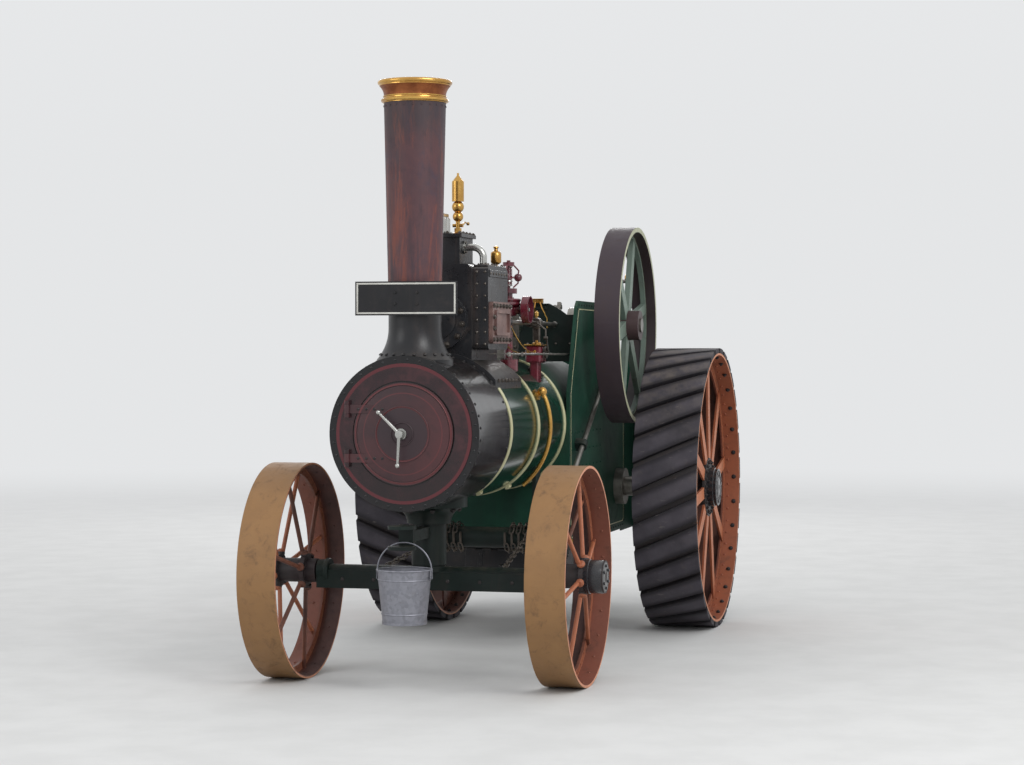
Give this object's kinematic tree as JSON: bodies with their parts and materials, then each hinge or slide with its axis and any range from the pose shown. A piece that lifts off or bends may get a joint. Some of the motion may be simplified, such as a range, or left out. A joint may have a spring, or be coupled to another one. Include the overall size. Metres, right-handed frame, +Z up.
{
  "type": "steam traction engine",
  "caption": "Single-cylinder agricultural steam traction engine with flywheel, gears, strake wheels, chain steering and coal tender.",
  "frame": {"origin": "on the ground under the centre of the whole engine", "axes": "+X forward towards the smokebox, +Y to the engine's left, the flywheel side, +Z up"},
  "size_m": [5.105, 2.22, 3.25],
  "materials": {
    "black_iron": "satin black paint, heat-greyed",
    "door_maroon": "aged maroon paint",
    "bright_steel": "bright worn steel",
    "chimney_rust": "rusty maroon-brown paint",
    "brass": "polished, slightly dull",
    "boiler_green": "glossy dark green paint",
    "cream_line": "cream-lined band",
    "cylinder_dark": "dark oily paint",
    "cover_brown": "pinkish-brown oily casting",
    "governor_maroon": "maroon paint",
    "motion_steel": "oily bright steel",
    "flywheel_brown": "dark maroon-brown paint with ivory edge lines",
    "wheel_orange": "faded orange paint",
    "front_wheel_tan": "worn yellow-tan steel tyre",
    "strake_rubber": "dusty black rubber",
    "frame_green": "dark green-grey paint",
    "chain_steel": "dull oily chain",
    "galvanised": "galvanised sheet steel"
  },
  "bodies": {
    "engine": {"smokebox": "black_iron", "chimney_saddle": "black_iron", "chimney": "chimney_rust", "chimney_cap": "brass", "number_plate": "black_iron", "boiler_barrel": "boiler_green", "boiler_bands": "cream_line", "cylinder_block": "cylinder_dark", "chest_cover": "cover_brown", "steam_pipe": "bright_steel", "safety_valve": "bright_steel", "whistle": "brass", "governor": "governor_maroon", "slide_bars": "motion_steel", "connecting_rod": "motion_steel", "valve_gear": "motion_steel", "crank_bearings": "frame_green", "hornplates": "boiler_green", "firebox": "boiler_green", "ashpan": "black_iron", "boiler_fittings": "brass", "second_shaft": "motion_steel", "rear_axle": "motion_steel", "perch_bracket": "frame_green", "chain_barrel": "frame_green", "steering_shaft": "motion_steel", "steering_chain_left": "chain_steel", "steering_chain_right": "chain_steel", "footplate": "frame_green", "tender_tank": "boiler_green", "coal_bunker": "boiler_green", "drawbar": "black_iron", "bucket": "galvanised"},
    "smokebox_door": {"smokebox_door": "door_maroon", "door_handles": "bright_steel"},
    "fire_door": {"fire_door": "black_iron"},
    "crank": {"crankshaft": "motion_steel", "flywheel": "flywheel_brown"},
    "front_axle": {"front_axle": "frame_green"},
    "front_wheel_left": {"front_wheel_left": "front_wheel_tan"},
    "front_wheel_right": {"front_wheel_right": "front_wheel_tan"},
    "rear_wheel_left": {"rear_wheel_left": "wheel_orange", "rear_strakes_left": "strake_rubber"},
    "rear_wheel_right": {"rear_wheel_right": "wheel_orange", "rear_strakes_right": "strake_rubber"}
  },
  "joints": [
    {"name": "steering", "type": "hinge", "parent": "engine", "child": "front_axle", "pos_m": [1.9325, 0, 0.7], "axis": [0, 0, 1], "range_deg": [-35, 35], "deforming": ["steering_chain_left", "steering_chain_right"]},
    {"name": "front_wheel_left_spin", "type": "hinge", "parent": "front_axle", "child": "front_wheel_left", "pos_m": [1.9325, 0.787, 0.595], "axis": [0, 1, 0], "continuous": true},
    {"name": "front_wheel_right_spin", "type": "hinge", "parent": "front_axle", "child": "front_wheel_right", "pos_m": [1.9325, -0.787, 0.595], "axis": [0, 1, 0], "continuous": true},
    {"name": "rear_wheel_left_spin", "type": "hinge", "parent": "engine", "child": "rear_wheel_left", "pos_m": [-1.1125, 0.907, 0.915], "axis": [0, 1, 0], "continuous": true},
    {"name": "rear_wheel_right_spin", "type": "hinge", "parent": "engine", "child": "rear_wheel_right", "pos_m": [-1.1125, -0.907, 0.915], "axis": [0, 1, 0], "continuous": true},
    {"name": "crank_spin", "type": "hinge", "parent": "engine", "child": "crank", "pos_m": [-0.6025, 0, 1.975], "axis": [0, 1, 0], "continuous": true},
    {"name": "smokebox_door_hinge", "type": "hinge", "parent": "engine", "child": "smokebox_door", "pos_m": [2.4365, -0.306, 1.37], "axis": [0, 0, -1], "range_deg": [0, 110]},
    {"name": "fire_door_hinge", "type": "hinge", "parent": "engine", "child": "fire_door", "pos_m": [-0.6695, 0.17, 1.25], "axis": [0, 0, -1], "range_deg": [0, 105]}
  ]
}
